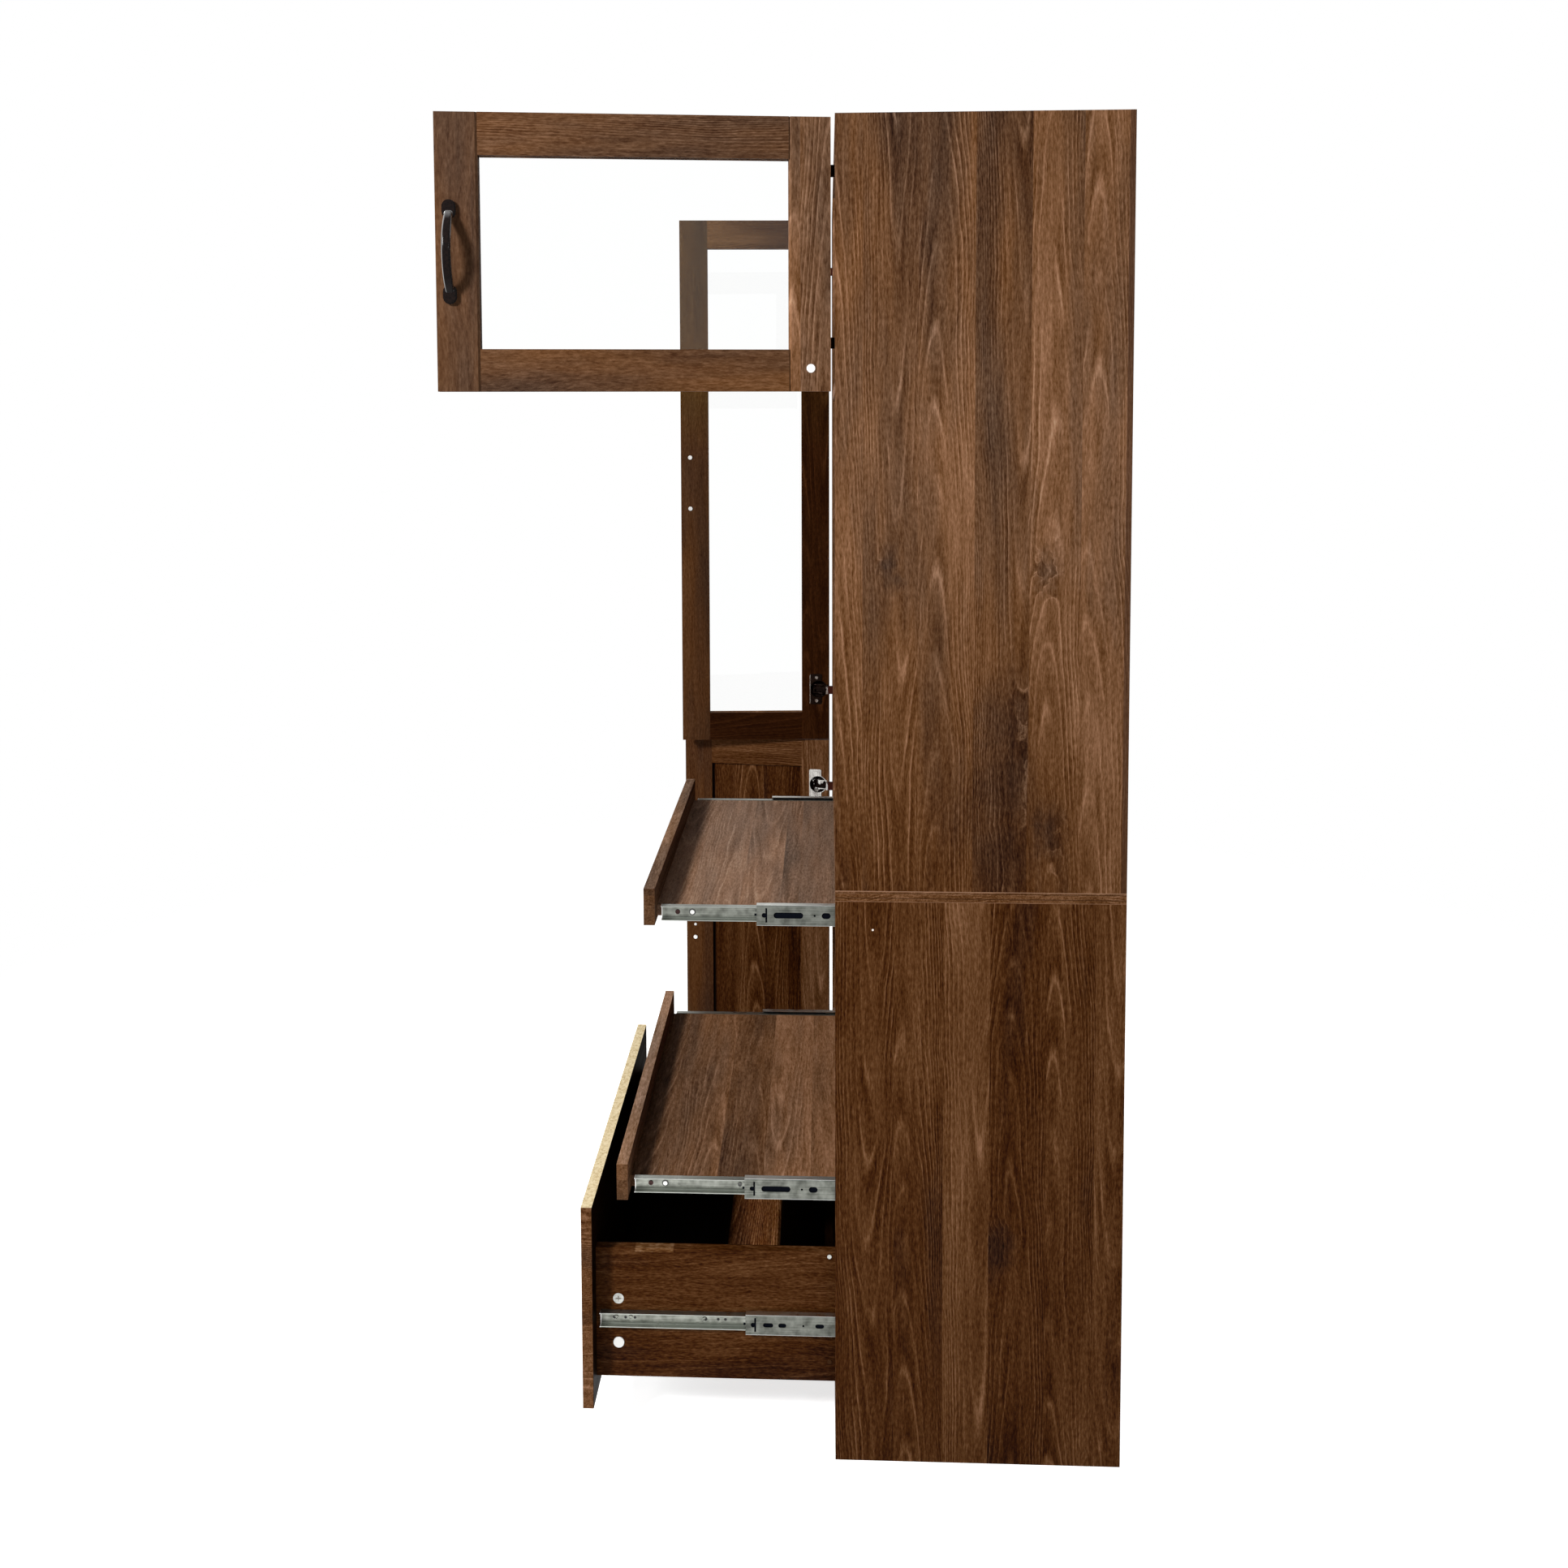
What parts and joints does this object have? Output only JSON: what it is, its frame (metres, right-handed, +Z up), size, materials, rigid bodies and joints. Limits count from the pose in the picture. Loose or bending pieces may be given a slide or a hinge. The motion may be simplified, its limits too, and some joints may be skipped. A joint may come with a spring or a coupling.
{
  "type": "kitchen hutch",
  "caption": "Tall kitchen hutch with glass and panel doors, an open appliance niche, pull-out trays and a drawer on ball-bearing slides, shown with doors and trays open.",
  "frame": {"origin": "on the floor, in the middle of the plinth's front edge", "axes": "+X to the right seen from the front, +Y from the front edges to the back, +Z up"},
  "size_m": [0.9329, 0.8922, 1.813],
  "materials": {
    "walnut": "satin walnut laminate, vertical grain",
    "walnut_back": "thin walnut-printed hardboard",
    "walnut_door": "satin walnut laminate, grain along each member",
    "walnut_tray": "satin walnut laminate, grain from side to side",
    "walnut_drawer": "satin walnut laminate, grain from side to side",
    "zinc_steel": "zinc-plated pressed steel",
    "nickel": "nickel-plated",
    "screw_steel": "bright zinc-plated",
    "black_metal": "gloss black lacquer",
    "glass": "clear float glass",
    "white_plastic": "moulded",
    "beech": "plain beech"
  },
  "bodies": {
    "carcass": {"side_lower_right": "walnut", "side_lower_left": "walnut", "side_upper_right": "walnut", "side_upper_left": "walnut", "counter_board": "walnut", "top_board": "walnut", "bottom_board": "walnut", "plinth": "walnut", "divider_lower": "walnut", "divider_upper": "walnut", "cupboard_floor": "walnut", "back_lower": "walnut_back", "back_upper": "walnut_back", "adjustable_shelves": "walnut", "shelf_pins": "zinc_steel", "dowels": "beech", "cam_locks": "zinc_steel", "right_hinge_arms": "nickel", "upper_left_hinge_arms": "nickel", "lower_left_hinge_arms": "nickel", "upper_tray_outer_slides": "zinc_steel", "lower_tray_outer_slides": "zinc_steel", "drawer_outer_slides": "zinc_steel"},
    "right_door": {"right_door_hinge_stile": "walnut_door", "right_door_handle_stile": "walnut_door", "right_door_rails": "walnut_door", "right_door_glass": "glass", "right_door_handle": "black_metal", "right_door_screws": "screw_steel", "right_door_hinge_cups": "nickel", "right_door_cap": "white_plastic"},
    "upper_left_door": {"upper_left_door_hinge_stile": "walnut_door", "upper_left_door_handle_stile": "walnut_door", "upper_left_door_rails": "walnut_door", "upper_left_door_glass": "glass", "upper_left_door_handle": "black_metal", "upper_left_door_screws": "screw_steel", "upper_left_door_hinge_cups": "nickel"},
    "lower_left_door": {"lower_left_door_hinge_stile": "walnut_door", "lower_left_door_handle_stile": "walnut_door", "lower_left_door_rails": "walnut_door", "lower_left_door_panel": "walnut_door", "lower_left_door_handle": "black_metal", "lower_left_door_screws": "screw_steel", "lower_left_door_hinge_cups": "nickel"},
    "upper_tray": {"upper_tray_board": "walnut_tray", "upper_tray_lip": "walnut_tray", "upper_tray_inner_slides": "zinc_steel"},
    "upper_tray_mid": {"upper_tray_mid_slides": "zinc_steel"},
    "lower_tray": {"lower_tray_board": "walnut_tray", "lower_tray_lip": "walnut_tray", "lower_tray_inner_slides": "zinc_steel"},
    "lower_tray_mid": {"lower_tray_mid_slides": "zinc_steel"},
    "drawer": {"drawer_front": "walnut_drawer", "drawer_sides": "walnut_drawer", "drawer_back": "walnut_drawer", "drawer_bottom": "walnut_back", "drawer_fittings": "zinc_steel", "drawer_inner_slides": "zinc_steel"},
    "drawer_mid": {"drawer_mid_slides": "zinc_steel"}
  },
  "joints": [
    {"name": "right_door_hinge", "type": "hinge", "parent": "carcass", "child": "right_door", "pos_m": [0.3937, -0.01025, 1.632], "axis": [0, 0, 1], "range_deg": [-95.9, 9.1]},
    {"name": "upper_left_door_hinge", "type": "hinge", "parent": "carcass", "child": "upper_left_door", "pos_m": [-0.3937, -0.01025, 1.2995], "axis": [0, 0, -1], "range_deg": [-87.05, 17.95]},
    {"name": "lower_left_door_hinge", "type": "hinge", "parent": "carcass", "child": "lower_left_door", "pos_m": [-0.3937, -0.01025, 0.425], "axis": [0, 0, -1], "range_deg": [-96.1, 8.9]},
    {"name": "upper_tray_slide", "type": "slide", "parent": "carcass", "child": "upper_tray", "axis": [0, -1, 0], "range_m": [-0.24, 0.1]},
    {"name": "upper_tray_mid_slide", "type": "slide", "parent": "carcass", "child": "upper_tray_mid", "axis": [0, -1, 0], "range_m": [-0.108, 0.045]},
    {"name": "lower_tray_slide", "type": "slide", "parent": "carcass", "child": "lower_tray", "axis": [0, -1, 0], "range_m": [-0.28, 0.06]},
    {"name": "lower_tray_mid_slide", "type": "slide", "parent": "carcass", "child": "lower_tray_mid", "axis": [0, -1, 0], "range_m": [-0.126, 0.027]},
    {"name": "drawer_slide", "type": "slide", "parent": "carcass", "child": "drawer", "axis": [0, -1, 0], "range_m": [-0.33, 0.01]},
    {"name": "drawer_mid_slide", "type": "slide", "parent": "carcass", "child": "drawer_mid", "axis": [0, -1, 0], "range_m": [-0.1254, 0.0038]}
  ],
  "couplings": [
    {"joint": "upper_tray_mid_slide", "follows": "upper_tray_slide", "ratio": 0.45},
    {"joint": "lower_tray_mid_slide", "follows": "lower_tray_slide", "ratio": 0.45},
    {"joint": "drawer_mid_slide", "follows": "drawer_slide", "ratio": 0.38}
  ]
}
